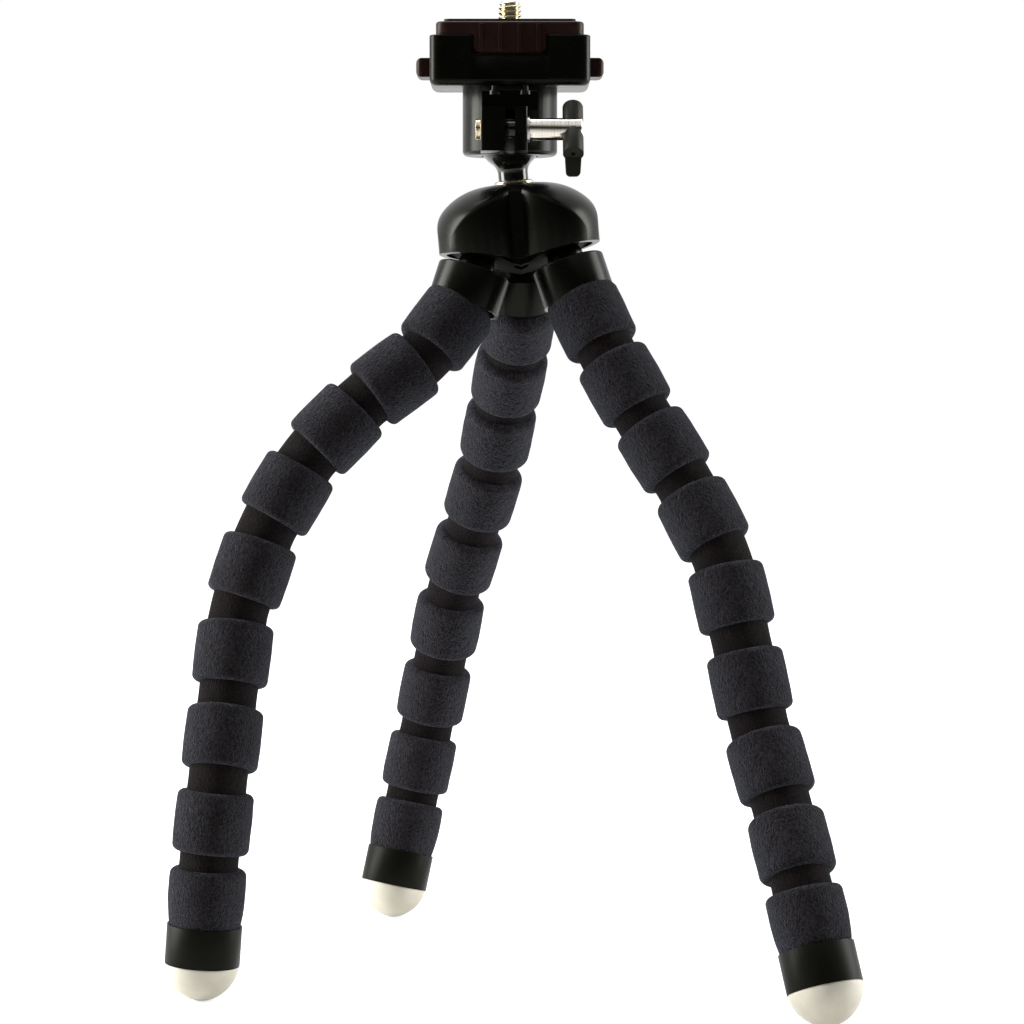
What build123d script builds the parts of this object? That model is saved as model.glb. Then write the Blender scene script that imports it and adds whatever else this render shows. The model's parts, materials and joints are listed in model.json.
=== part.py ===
import os
from math import cos, radians, sin, sqrt

from build123d import *

os.makedirs("parts", exist_ok=True)

# A small camera tripod: three bendable foam legs, a three-lobed hub, a ball head and a
# quick-release plate. Z is up, the floor is at Z = 0, and the front is towards -Y.
# Angles are in degrees and azimuths turn from +X towards +Y.

# Leg sizes
band_diameter = 20.4
band_length = 16.3
first_band_length = 15.4
last_band_length = 15.1
band_rounding = 1.5
band_taper = 3.0
groove_diameter = 16.0
groove_width = 6.4
joint_clearance = 0.3
core_diameter = 5.0
cap_diameter = 20.0
cap_wall = 0.9
cap_rounding = 0.6
cap_end = 3.6
top_cap_length = 10.5
bottom_cap_length = 10.5
neck_gap = 3.0
neck_diameter = 10.0
foot_diameter = 19.6
foot_peg_diameter = 6.0
foot_peg_length = 3.0

# The grooves are narrow at both ends of the leg and wide at its middle
groove_shares = (0.70, 0.73, 0.91, 1.05, 1.10, 1.05, 0.95, 0.66)

# Hub sizes
hub_tilt = 5.0
socket_lean = 22.0
socket_radius = 14.2
lobe_diameter = 23.0
lobe_radius = 12.2
valley_radius = 13.4
valley_width = 4.6
hub_height = 21.6
hub_wall = 2.0
crown_diameter = 11.4
shoulder_radius = 18.2
shoulder_height = 17.6
rim_radius = 23.5
rim_height = 6.5
rim_lean = 11.0
rim_outer_height = 4.2
hub_edge_rounding = 2.4
base_top = 10.4
base_tip = -14.0
crown_pad_diameter = 14.0
crown_pad_thickness = 2.4
base_recess = 0.8
washer_recess = 1.2
anchor_length = 5.0
hub_screw_radius = 7.6
hub_screw_diameter = 2.2
hub_screw_head = 4.0
hub_screw_head_height = 1.6
hub_screw_length = 11.0

# Ball stud sizes
ball_diameter = 17.6
stem_diameter = 8.2
stem_length = 3.9
stem_rounding = 3.6
stud_diameter = 6.0
collar_diameter = 10.8
collar_height = 2.2
lock_nut_flats = 10.0
lock_nut_height = 3.2
fit_clearance = 0.1

# Ball head sizes, with heights counted from the centre of the ball
housing_diameter = 26.0
housing_drop = 5.0
housing_rise = 13.4
housing_rounding = 1.4
housing_lip = 0.6
housing_bore = 18.0
mouth_diameter = 15.7
liner_wall = 1.1
liner_cap_angle = 25.0
liner_ring_top_angle = 62.0
liner_ring_bottom_angle = 114.0
ear_front = 24.6
ear_back = 8.0
ear_left = 7.9
ear_right = 4.7
ear_top = 7.0
ear_bottom = 4.8
ear_rounding = 0.8
clamp_slot = 2.7
window_width = 15.0
window_reach = 9.9
flange_thickness = 1.3

# Clamp screw and knob sizes
clamp_reach = 19.6
clamp_height = 1.2
rod_diameter = 6.0
rod_end = 19.8
rod_chamfer = 0.6
thread_diameter = 4.8
thread_hole_clearance = 0.3
washer_diameter = 7.0
washer_thickness = 0.6
nut_diameter = 7.2
nut_depth = 4.0
nut_nose_diameter = 5.6
nut_nose_length = 1.3
knob_centre = 17.0
knob_bar_diameter = 5.6
knob_bar_length = 17.6
knob_bar_lean = 38.0
knob_bar_rounding = 1.2
knob_pin_diameter = 3.2
knob_pin_length = 8.0
knob_blade_top_width = 5.4
knob_blade_end_width = 3.8
knob_blade_front = 4.4
knob_blade_back = 0.4
knob_blade_reach = 12.8
knob_blade_rounding = 1.2
knob_hole_diameter = 1.2
knob_hole_depth = 1.6

# Quick-release tray sizes, with heights counted from the tray's underside
tray_width = 43.7
tray_depth = 27.6
tray_height = 13.8
tray_corner = 3.0
tray_rounding = 2.0
tray_edge_rounding = 0.5
tray_wall = 2.6
tray_side = 7.6
tray_floor = 3.4
notch_width = 21.1
notch_depth = 5.2
panel_depth = 0.9
panel_top_margin = 0.8
panel_bow = 0.5
tray_screw_spread = 8.2
tray_screw_reach = 11.6
tray_screw_diameter = 2.0
tray_screw_head = 3.0
tray_screw_head_height = 1.0
tray_screw_length = 4.0

# Release button sizes
button_height = 5.2
button_length = 12.0
button_proud = 3.8
button_head = 5.0
button_rounding = 1.5
button_level = 5.5
button_cavity = 6.5
button_clearance = 0.2
shank_height = 3.2
shank_length = 5.0
shank_side = 3.0
hook_clearance = 0.25
hook_thickness = 1.3
hook_tip = 0.2
hook_height = 1.4
hook_top = 10.3
spring_diameter = 3.0
spring_wire = 0.5

# Quick-release plate sizes
plate_side_margin = 1.75
plate_front_margin = 0.4
plate_rim = 3.6
plate_corner = 3.2
plate_rounding = 0.7
plate_web = 2.6
plate_fit = 0.3
block_drop = 6.3
block_wall = 2.4
ledge_width = 1.2
ledge_height = 1.0
tab_clearance = 0.75
tab_drop = 5.0
tab_corner = 2.0
rib_width = 1.0
rib_proud = 0.4
rib_pitch = 5.2
rib_count = 4
pad_thickness = 0.8
pad_margin = 2.2
pad_hole_diameter = 10.0
screw_diameter = 6.35
screw_clearance = 0.15
screw_proud = 5.6
screw_chamfer = 0.6
relief_diameter = 5.0
relief_proud = 0.5
screw_head_diameter = 11.0
screw_head_height = 2.4
screw_slot_width = 1.4
screw_slot_depth = 1.2
ring_diameter = 9.0
ring_thickness = 0.8

# The bends that the legs stand in: for each leg its azimuth on the hub, then the leans
# from straight down of its ten straight stretches, the top cap and nine bands, and the
# azimuths towards which they lean.
LEGS = {
    "left": (
        210,
        (20, 41, 54, 45, 31, 21, 16, 18, 7, 4),
        (210, 207, 192, 191, 195, 210, 248, 252, 208, 183),
    ),
    "right": (
        330,
        (21, 34, 33, 35, 33, 19, 18, 28, 31, 22),
        (330, 318, 329, 332, 321, 309, 307, 301, 292, 302),
    ),
    "back": (
        90,
        (22, 44, 42, 35, 33, 30, 23, 16, 12, 14),
        (90, 98, 103, 106, 117, 122, 117, 134, 188, 214),
    ),
}
BAND_COUNT = 9

grooves = [groove_width * share for share in groove_shares]
foot_radius = foot_diameter / 2
ball_radius = ball_diameter / 2
collar_base = hub_height - washer_recess
stem_base = collar_base + collar_height
ball_seat = sqrt(ball_radius**2 - (stem_diameter / 2) ** 2)
ball_height = stem_base + stem_length + ball_seat


def heading(lean, azimuth):
    """The direction that leans from straight down towards an azimuth."""
    out = sin(radians(lean))
    return Vector(
        out * cos(radians(azimuth)), out * sin(radians(azimuth)), -cos(radians(lean))
    )


def stretches():
    """The length of each straight stretch, from the neck joint to the bottom cap's end."""
    first = neck_gap / 2 + top_cap_length
    last = grooves[-1] / 2 + last_band_length + bottom_cap_length
    middle = [
        grooves[k] / 2 + band_length + grooves[k + 1] / 2
        for k in range(BAND_COUNT - 2)
    ]
    return [first, first_band_length + grooves[0] / 2] + middle + [last]


def drop(leans, ease):
    """How far a leg comes down when all its leans but the cap's are eased by one share."""
    lean_list = [leans[0]] + [lean * ease for lean in leans[1:]]
    return sum(
        length * cos(radians(lean)) for length, lean in zip(stretches(), lean_list)
    )


def settle(leans, height):
    """The share of its leans at which a leg's foot just reaches the floor."""
    low, high = 0.2, 1.7
    for step in range(60):
        ease = (low + high) / 2
        if drop(leans, ease) > height:
            low = ease
        else:
            high = ease
    return ease


# Hub frame: it stands on the legs and tips a little to the left, and its own zero height
# is level with the centres of the three leg necks.
tip = radians(hub_tilt)
hub_axis = Vector(-sin(tip), 0, cos(tip))
hub_across = Vector(cos(tip), 0, sin(tip))
left_neck_rise = socket_radius * cos(radians(LEGS["left"][0])) * sin(tip)
hub_origin = Vector(0, 0, drop(LEGS["left"][1], 1) + foot_radius - left_neck_rise)


def hub_plane(height=0):
    """A plane square to the hub's axis."""
    return Plane(
        origin=hub_origin + hub_axis * height, x_dir=hub_across, z_dir=hub_axis
    )


def hub_section():
    """A plane through the hub's axis, drawn in radius and height."""
    return Plane(origin=hub_origin, x_dir=hub_across, z_dir=hub_axis.cross(hub_across) * -1)


def hub_point(radius, azimuth, height=0):
    """A point given in the hub's own frame."""
    flat = Vector(radius * cos(radians(azimuth)), radius * sin(radians(azimuth)), height)
    return hub_plane().from_local_coords(flat)


def down_and_out(azimuth, lean):
    """The direction that leans from the hub's axis, pointing down and out of the hub."""
    return hub_plane().from_local_coords(heading(lean, azimuth)) - hub_origin


def socket_direction(azimuth):
    """The axis of a leg socket."""
    return down_and_out(azimuth, socket_lean)


def section_plane(origin, direction):
    """A plane through an axis, drawn in radius and distance along that axis."""
    across = Plane(origin=origin, z_dir=direction).x_dir
    return Plane(origin=origin, x_dir=across, z_dir=across.cross(direction))


# Head frame: level, with its own zero height at the centre of the ball
ball_centre = hub_origin + hub_axis * ball_height


def head_plane(height=0):
    """A level plane in the head's frame."""
    return Plane(origin=ball_centre + Vector(0, 0, height))


def head_section():
    """An upright plane through the head's axis, drawn in X and height."""
    return Plane(origin=ball_centre, x_dir=(1, 0, 0), z_dir=(0, -1, 0))


def clamp_plane(across):
    """A plane square to the clamp screw, drawn in Y and height from the screw's axis."""
    centre = ball_centre + Vector(across, -clamp_reach, clamp_height)
    return Plane(origin=centre, x_dir=(0, 1, 0), z_dir=(1, 0, 0))


def head_axis():
    return Axis(ball_centre, (0, 0, 1))


pieces = {}


def keep(name, *parts):
    """Stores one node as its list of solids."""
    pieces[name] = [solid for part in parts for solid in part.solids()]


# Legs
core_radius = core_diameter / 2
cap_radius = cap_diameter / 2
bore_diameter = core_diameter + fit_clearance
cap_inner = cap_radius - cap_wall
plug_radius = cap_inner - fit_clearance / 2
cup_radius = groove_diameter / 2 + joint_clearance
core_flush = sqrt((groove_diameter / 2) ** 2 - core_radius**2)


def rod(origin, direction, start, end, diameter, mode=Mode.ADD):
    """A round bar along an axis, inside the part that is being built."""
    with BuildSketch(Plane(origin=origin + direction * start, z_dir=direction)) as round_face:
        Circle(diameter / 2)
    extrude(round_face.sketch, amount=end - start, mode=mode)


def core_piece(origin, direction, start, end):
    """One link's length of the bendable wire."""
    with BuildPart() as core:
        rod(origin, direction, start, end, core_diameter)
    return core.part


def top_cap(origin, direction):
    """The moulded cap at the top of a leg, with the ball that sits in the hub's socket."""
    start = neck_gap / 2
    with BuildPart() as cap:
        with BuildSketch(section_plane(origin, direction)) as profile:
            with BuildLine():
                Polyline(
                    (0, start),
                    (cap_radius, start),
                    (cap_radius, start + top_cap_length),
                    (cap_inner, start + top_cap_length),
                    (cap_inner, start + cap_end),
                    (0, start + cap_end),
                    close=True,
                )
            make_face()
            fillet(profile.vertices().group_by(Axis.X)[-1].sort_by(Axis.Y)[0], cap_rounding)
        revolve(axis=Axis(origin, direction))
        with Locations(origin):
            Sphere(neck_diameter / 2)
        rod(origin, direction, -neck_diameter, start + top_cap_length, bore_diameter, Mode.SUBTRACT)
    return cap.part


def first_core(origin, direction, onward, diameter, past_joint):
    """The wire of the top link, or the bore for it, which turns where the cap ends."""
    bend = origin + direction * (neck_gap / 2 + top_cap_length)
    neck_flush = sqrt((neck_diameter / 2) ** 2 - core_radius**2)
    joint = first_band_length + grooves[0] / 2
    with BuildPart() as core:
        rod(origin, direction, -neck_flush, neck_gap / 2 + top_cap_length, diameter)
        rod(bend, onward, 0, joint + past_joint, diameter)
        with Locations(bend):
            Sphere(diameter / 2)
    return core.part


def first_link(origin, direction, onward):
    """The foam of the top band and its wire. The foam turns where the top cap ends."""
    bend = origin + direction * (neck_gap / 2 + top_cap_length)
    joint = bend + onward * (first_band_length + grooves[0] / 2)
    with BuildPart() as foam:
        with BuildSketch(section_plane(bend, onward)) as profile:
            with BuildLine():
                Polyline(
                    (0, -band_taper),
                    (cap_inner, -band_taper),
                    (cap_radius, 0),
                    (band_diameter / 2, band_taper),
                    (band_diameter / 2, first_band_length),
                    (0, first_band_length),
                    close=True,
                )
            make_face()
            fillet(profile.vertices().group_by(Axis.X)[-1].sort_by(Axis.Y)[-1], band_rounding)
        revolve(axis=Axis(bend, onward))
        with Locations(bend):
            Sphere(cap_radius)
        with Locations(joint):
            Sphere(groove_diameter / 2)
        split(bisect_by=Plane(origin=bend, z_dir=direction), keep=Keep.TOP)
        rod(bend, direction, cap_end - top_cap_length, 0, plug_radius * 2)
        bore = first_core(origin, direction, onward, bore_diameter, groove_diameter)
        add(bore, mode=Mode.SUBTRACT)
    return foam.part, first_core(origin, direction, onward, core_diameter, core_flush)


def middle_link(origin, direction, above, below):
    """One foam band, with a cup at its top and a ball in the groove below it."""
    bottom = above + band_length
    joint = bottom + below
    with BuildPart() as foam:
        with BuildSketch(section_plane(origin, direction)) as profile:
            with BuildLine():
                Polyline(
                    (0, above),
                    (band_diameter / 2, above),
                    (band_diameter / 2, bottom),
                    (0, bottom),
                    close=True,
                )
            make_face()
            fillet(profile.vertices().group_by(Axis.X)[-1], band_rounding)
        revolve(axis=Axis(origin, direction))
        with Locations(origin + direction * joint):
            Sphere(groove_diameter / 2)
        with Locations(origin):
            Sphere(cup_radius, mode=Mode.SUBTRACT)
        rod(origin, direction, 0, joint + groove_diameter, bore_diameter, Mode.SUBTRACT)
    return foam.part, core_piece(origin, direction, cup_radius, joint + core_flush)


def last_link(origin, direction, above):
    """The lowest foam band, which plugs into the bottom cap."""
    cap_top = above + last_band_length
    plug_end = cap_top + bottom_cap_length - cap_end
    with BuildPart() as foam:
        with BuildSketch(section_plane(origin, direction)) as profile:
            with BuildLine():
                Polyline(
                    (0, above),
                    (band_diameter / 2, above),
                    (band_diameter / 2, cap_top - band_taper),
                    (cap_radius, cap_top),
                    (plug_radius, cap_top),
                    (plug_radius, plug_end),
                    (0, plug_end),
                    close=True,
                )
            make_face()
            fillet(profile.vertices().group_by(Axis.X)[-1].sort_by(Axis.Y)[0], band_rounding)
        revolve(axis=Axis(origin, direction))
        with Locations(origin):
            Sphere(cup_radius, mode=Mode.SUBTRACT)
        rod(origin, direction, 0, cap_top, bore_diameter, Mode.SUBTRACT)
    return foam.part, core_piece(origin, direction, cup_radius, cap_top)


def bottom_cap(origin, direction):
    """The cap at the foot end of a leg. Its origin is its upper rim."""
    with BuildPart() as cap:
        with BuildSketch(section_plane(origin, direction)):
            with BuildLine():
                Polyline(
                    (cap_inner, 0),
                    (cap_radius, 0),
                    (cap_radius, bottom_cap_length),
                    (0, bottom_cap_length),
                    (0, bottom_cap_length - cap_end),
                    (cap_inner, bottom_cap_length - cap_end),
                    close=True,
                )
            make_face()
        revolve(axis=Axis(origin, direction))
        hole_start = bottom_cap_length - foot_peg_length - fit_clearance
        rod(
            origin,
            direction,
            hole_start,
            bottom_cap_length,
            foot_peg_diameter + fit_clearance,
            Mode.SUBTRACT,
        )
    return cap.part


def foot(centre, direction):
    """A half-round rubber foot with a peg in the bottom cap."""
    with BuildPart() as rubber:
        with Locations(centre):
            Sphere(foot_radius)
        split(bisect_by=Plane(origin=centre, z_dir=direction), keep=Keep.TOP)
        rod(centre, direction, -foot_peg_length, 0, foot_peg_diameter)
    return rubber.part


def leg_course(azimuth, leans, azimuths):
    """A leg's joint centres and the directions of its stretches, from neck to foot."""
    neck = hub_point(socket_radius, azimuth)
    ease = settle(leans, neck.Z - foot_radius)
    eased = [leans[0]] + [lean * ease for lean in leans[1:]]
    ways = [heading(lean, turn) for lean, turn in zip(eased, azimuths)]
    points = [neck]
    for way, length in zip(ways, stretches()):
        points.append(points[-1] + way * length)
    return points, ways


def make_leg(side, azimuth, leans, azimuths):
    """All the nodes of one leg."""
    points, ways = leg_course(azimuth, leans, azimuths)
    keep(f"top_cap_{side}", top_cap(points[0], ways[0]))
    keep(f"band_{side}_1", *first_link(points[0], ways[0], ways[1]))
    for band in range(2, BAND_COUNT):
        above, below = grooves[band - 2] / 2, grooves[band - 1] / 2
        link = middle_link(points[band], ways[band], above, below)
        keep(f"band_{side}_{band}", *link)
    above = grooves[-1] / 2
    link = last_link(points[BAND_COUNT], ways[-1], above)
    keep(f"band_{side}_{BAND_COUNT}", *link)
    rim = points[BAND_COUNT] + ways[-1] * (above + last_band_length)
    keep(f"bottom_cap_{side}", bottom_cap(rim, ways[-1]))
    keep(f"foot_{side}", foot(points[-1], ways[-1]))


for side, leg in LEGS.items():
    make_leg(side, *leg)


# Hub
def lobed_block(inset):
    """The hub's three lobes under its dome, all drawn in by an inset."""
    with BuildPart() as block:
        with BuildSketch(hub_plane(base_tip)):
            Circle(valley_radius / 2)
            with PolarLocations(lobe_radius, 3, start_angle=90):
                Circle(lobe_diameter / 2 - inset)
            reach = valley_radius - inset
            with PolarLocations(reach / 2, 3, start_angle=30):
                Rectangle(reach, valley_width)
        extrude(amount=hub_height - base_tip)
        with BuildSketch(hub_section()):
            with BuildLine():
                crown = Line((0, hub_height - inset), (crown_diameter / 2, hub_height - inset))
                dome = Spline(
                    crown @ 1,
                    (shoulder_radius - inset, shoulder_height - inset),
                    (rim_radius - inset, rim_height),
                    tangents=[(1, 0), (0, -1)],
                )
                Polyline(dome @ 1, (rim_radius - inset, base_tip), (0, base_tip), crown @ 0)
            make_face()
        revolve(axis=Axis(hub_origin, hub_axis), mode=Mode.INTERSECT)
    return block


def cut_rims():
    """Trims the part in hand under each lobe, a little up towards the lobe's outer end."""
    for azimuth, leans, azimuths in LEGS.values():
        outer = hub_point(lobe_radius + lobe_diameter / 2, azimuth, rim_outer_height)
        split(bisect_by=Plane(origin=outer, z_dir=down_and_out(azimuth, rim_lean)), keep=Keep.BOTTOM)


def cut_to_sockets(lift):
    """Trims the part in hand square to the three legs, at a distance above their gaps."""
    for azimuth, leans, azimuths in LEGS.values():
        way = socket_direction(azimuth)
        face = hub_point(socket_radius, azimuth) - way * (neck_gap / 2 + lift)
        split(bisect_by=Plane(origin=face, z_dir=way), keep=Keep.BOTTOM)


# The screws that hold the base come up in the valleys between the lobes
hub_screw_spots = PolarLocations(hub_screw_radius, 3, start_angle=30)
screw_seat = base_top - hub_screw_diameter * 2

inner_block = lobed_block(hub_wall)

with BuildPart() as hub_shell:
    add(lobed_block(0).part)
    # the dome runs softly into the lobes
    fillet(hub_shell.edges().filter_by(GeomType.BSPLINE), hub_edge_rounding)
    add(inner_block.part, mode=Mode.SUBTRACT)
    with BuildSketch(hub_plane(hub_height - hub_wall - crown_pad_thickness)):
        Circle(crown_pad_diameter / 2)
    extrude(amount=crown_pad_thickness + hub_wall)
    with BuildSketch(hub_plane(base_top + fit_clearance)):
        with hub_screw_spots:
            Circle(hub_screw_head / 2)
    extrude(amount=hub_height - hub_wall - base_top)
    with BuildSketch(hub_plane(screw_seat)):
        with hub_screw_spots:
            Circle((hub_screw_diameter + fit_clearance) / 2)
    extrude(amount=hub_screw_length + fit_clearance, mode=Mode.SUBTRACT)
    with BuildSketch(hub_plane(hub_height - washer_recess)):
        Circle(collar_diameter / 2 + fit_clearance)
    extrude(amount=washer_recess, mode=Mode.SUBTRACT)
    with BuildSketch(hub_plane(base_top)):
        Circle(stud_diameter / 2 + fit_clearance)
    extrude(amount=hub_height - base_top, mode=Mode.SUBTRACT)
    cut_rims()
keep("hub_shell", hub_shell.part)

base_block = lobed_block(hub_wall + fit_clearance)

with BuildPart() as hub_base:
    add(base_block.part)
    split(bisect_by=hub_plane(base_top), keep=Keep.BOTTOM)
    cut_to_sockets(base_recess)
    for azimuth, leans, azimuths in LEGS.values():
        neck = hub_point(socket_radius, azimuth)
        way = socket_direction(azimuth)
        with Locations(neck):
            Sphere(neck_diameter / 2 + joint_clearance, mode=Mode.SUBTRACT)
        anchor_start = neck_diameter / 2 + joint_clearance
        rod(neck, way * -1, 0, anchor_start + anchor_length, bore_diameter, Mode.SUBTRACT)
    with BuildSketch(hub_plane(base_top)):
        with hub_screw_spots:
            Circle(hub_screw_diameter / 2 + fit_clearance)
    extrude(amount=base_tip - base_top, mode=Mode.SUBTRACT)
    with BuildSketch(hub_plane(screw_seat)):
        with hub_screw_spots:
            Circle(hub_screw_head / 2 + fit_clearance)
    extrude(amount=base_tip - screw_seat, mode=Mode.SUBTRACT)
keep("hub_base", hub_base.part)


def wire_anchor(azimuth):
    """The crimped upper end of a leg's wire, fast in the hub's base."""
    start = neck_diameter / 2 + joint_clearance
    neck = hub_point(socket_radius, azimuth)
    return core_piece(neck, socket_direction(azimuth) * -1, start, start + anchor_length)


keep("wire_anchors", *[wire_anchor(leg[0]) for leg in LEGS.values()])


def hub_screw(azimuth):
    """One screw that holds the hub's base to its shell."""
    with BuildPart() as screw:
        with BuildSketch(hub_plane(screw_seat)):
            with PolarLocations(hub_screw_radius, 1, start_angle=azimuth):
                Circle(hub_screw_diameter / 2)
        extrude(amount=hub_screw_length)
        with BuildSketch(hub_plane(screw_seat)):
            with PolarLocations(hub_screw_radius, 1, start_angle=azimuth):
                Circle(hub_screw_head / 2)
        extrude(amount=-hub_screw_head_height)
    return screw.part


keep("hub_screws", *[hub_screw(azimuth) for azimuth in (30, 150, 270)])

with BuildPart() as stem_collar:
    with BuildSketch(hub_plane(collar_base)):
        Circle(collar_diameter / 2)
        Circle(stud_diameter / 2 + fit_clearance / 2, mode=Mode.SUBTRACT)
    extrude(amount=collar_height)
    outer_edges = stem_collar.edges().filter_by(GeomType.CIRCLE).group_by(SortBy.RADIUS)[-1]
    chamfer(outer_edges, collar_height / 6)
keep("stem_collar", stem_collar.part)

nut_top = hub_height - hub_wall - crown_pad_thickness
nut_base = nut_top - lock_nut_height
with BuildPart() as ball_stud:
    with Locations(ball_centre):
        Sphere(ball_radius)
    rod(hub_origin, hub_axis, stem_base, ball_height, stem_diameter)
    # the ball flows into its stem
    stem_edges = ball_stud.edges().filter_by(GeomType.CIRCLE).group_by(SortBy.RADIUS)[0]
    fillet(stem_edges.sort_by(Axis.Z)[-1], stem_rounding)
    rod(hub_origin, hub_axis, nut_base - stud_diameter / 4, stem_base, stud_diameter)
keep("ball_stud", ball_stud.part)

with BuildPart() as lock_nut:
    with BuildSketch(hub_plane(nut_base)):
        RegularPolygon(lock_nut_flats / 2, 6, major_radius=False)
        Circle(stud_diameter / 2 + fit_clearance / 2, mode=Mode.SUBTRACT)
    extrude(amount=lock_nut_height)
keep("lock_nut", lock_nut.part)

# Ball head
liner_inner = ball_radius + fit_clearance
liner_outer = liner_inner + liner_wall
cavity_radius = liner_outer + fit_clearance


def liner(axis, start_angle, end_angle):
    """A part of a spherical shell about an axis, between two angles from that axis."""

    def at(radius, angle):
        return (radius * sin(radians(angle)), radius * cos(radians(angle)))

    middle = (start_angle + end_angle) / 2
    with BuildPart() as shell:
        with BuildSketch(section_plane(ball_centre, axis)):
            with BuildLine():
                inner = ThreePointArc(
                    at(liner_inner, start_angle),
                    at(liner_inner, middle),
                    at(liner_inner, end_angle),
                )
                outer = ThreePointArc(
                    at(liner_outer, start_angle),
                    at(liner_outer, middle),
                    at(liner_outer, end_angle),
                )
                Line(inner @ 0, outer @ 0)
                Line(inner @ 1, outer @ 1)
            make_face()
        revolve(axis=Axis(ball_centre, axis))
    return shell.part


keep("liner_cap", liner(hub_axis, 0, liner_cap_angle))
keep("liner_ring", liner(Vector(0, 0, 1), liner_ring_top_angle, liner_ring_bottom_angle))

ear_width = ear_left + ear_right
ear_centre = (ear_right - ear_left) / 2
lip_height = housing_drop - housing_lip
bore_radius = housing_bore / 2

with BuildPart() as socket_housing:
    with BuildSketch(head_plane(-housing_drop)):
        Circle(housing_diameter / 2)
    extrude(amount=housing_drop + housing_rise)
    fillet(socket_housing.edges().group_by(Axis.Z)[0], housing_rounding)
    with BuildSketch(head_plane(-ear_bottom)) as ears:
        with Locations((ear_centre, -(ear_front + ear_back) / 2)):
            Rectangle(ear_width, ear_front - ear_back)
        fillet(ears.vertices().group_by(Axis.Y)[0], ear_rounding)
    extrude(amount=ear_bottom + ear_top)
    with BuildSketch(head_section()):
        with BuildLine():
            side = ThreePointArc(
                (sqrt(cavity_radius**2 - lip_height**2), -lip_height),
                (cavity_radius, 0),
                (bore_radius, sqrt(cavity_radius**2 - bore_radius**2)),
            )
            top = Polyline(side @ 1, (bore_radius, housing_rise), (0, housing_rise))
            Polyline(top @ 1, (0, -lip_height), side @ 0)
        make_face()
    revolve(axis=head_axis(), mode=Mode.SUBTRACT)
    with BuildSketch(head_plane(-housing_drop)):
        Circle(mouth_diameter / 2)
    extrude(amount=housing_drop, mode=Mode.SUBTRACT)
    with BuildSketch(head_plane(-housing_drop)):
        with Locations((0, -ear_front / 2)):
            Rectangle(clamp_slot, ear_front)
    extrude(amount=housing_drop + ear_top, mode=Mode.SUBTRACT)
    window_centre = (window_reach + housing_diameter / 2) / 2
    with BuildSketch(head_plane(ear_top)):
        with Locations((0, window_centre), (0, -window_centre)):
            Rectangle(window_width, housing_diameter / 2 - window_reach)
    extrude(amount=housing_rise - flange_thickness - ear_top, mode=Mode.SUBTRACT)
    with BuildSketch(head_plane(housing_rise)):
        with GridLocations(tray_screw_spread, tray_screw_reach * 2, 2, 2):
            Circle(tray_screw_diameter / 2 + fit_clearance)
    extrude(amount=-flange_thickness, mode=Mode.SUBTRACT)
    with BuildSketch(clamp_plane(-ear_left)):
        Circle(thread_diameter / 2 + thread_hole_clearance)
    extrude(amount=ear_width, mode=Mode.SUBTRACT)
    with BuildSketch(clamp_plane(-ear_left)):
        Circle(nut_diameter / 2 + fit_clearance / 2)
    extrude(amount=nut_depth, mode=Mode.SUBTRACT)
keep("socket_housing", socket_housing.part)

with BuildPart() as clamp_nut:
    with BuildSketch(clamp_plane(nut_depth - ear_left)):
        Circle(nut_diameter / 2)
    extrude(amount=-nut_depth)
    with BuildSketch(clamp_plane(-ear_left)):
        Circle(nut_nose_diameter / 2)
    extrude(amount=-nut_nose_length)
    with BuildSketch(clamp_plane(-ear_left - nut_nose_length)):
        Circle(thread_diameter / 2 + fit_clearance)
    extrude(amount=nut_nose_length + nut_depth, mode=Mode.SUBTRACT)
keep("clamp_nut", clamp_nut.part)

with BuildPart() as clamp_washer:
    with BuildSketch(clamp_plane(ear_right)):
        Circle(washer_diameter / 2)
        Circle(thread_diameter / 2 + fit_clearance, mode=Mode.SUBTRACT)
    extrude(amount=washer_thickness)
keep("clamp_washer", clamp_washer.part)

rod_start = ear_right + washer_thickness
knob_way = Vector(0, -sin(radians(knob_bar_lean)), -cos(radians(knob_bar_lean)))
knob_origin = ball_centre + Vector(knob_centre, -clamp_reach, clamp_height)

with BuildPart() as clamp_screw:
    with BuildSketch(clamp_plane(rod_start)):
        Circle(rod_diameter / 2)
    extrude(amount=rod_end - rod_start)
    chamfer(clamp_screw.edges().group_by(Axis.X)[-1], rod_chamfer)
    with BuildSketch(clamp_plane(rod_start)):
        Circle(thread_diameter / 2)
    extrude(amount=-(rod_start + ear_left + nut_nose_length / 2))
    rod(
        knob_origin,
        knob_way,
        -knob_pin_length / 2,
        knob_pin_length / 2,
        knob_pin_diameter + fit_clearance,
        Mode.SUBTRACT,
    )
keep("clamp_screw", clamp_screw.part)

# the knob's blade is thin from the side, and narrows to a rounded end from the front
with BuildPart() as knob_blade:
    with BuildSketch(clamp_plane(knob_centre - knob_blade_top_width / 2)):
        with BuildLine():
            blade_top = knob_bar_length / 2 * cos(radians(knob_bar_lean))
            Polyline(
                (-knob_blade_front, -blade_top + knob_bar_diameter / 4),
                (-knob_blade_front, -knob_blade_reach),
                (-knob_blade_back, -knob_blade_reach),
                (-knob_blade_back, -knob_bar_diameter),
                close=True,
            )
        make_face()
    extrude(amount=knob_blade_top_width)
    with BuildSketch(Plane(origin=knob_origin, x_dir=(1, 0, 0), z_dir=(0, -1, 0))) as blade:
        top_half, end_half = knob_blade_top_width / 2, knob_blade_end_width / 2
        Polygon(
            (-top_half, 0),
            (-end_half, -knob_blade_reach),
            (end_half, -knob_blade_reach),
            (top_half, 0),
            align=None,
        )
        fillet(blade.vertices().group_by(Axis.Y)[0], knob_blade_rounding)
    extrude(amount=knob_bar_length, both=True, mode=Mode.INTERSECT)

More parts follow.
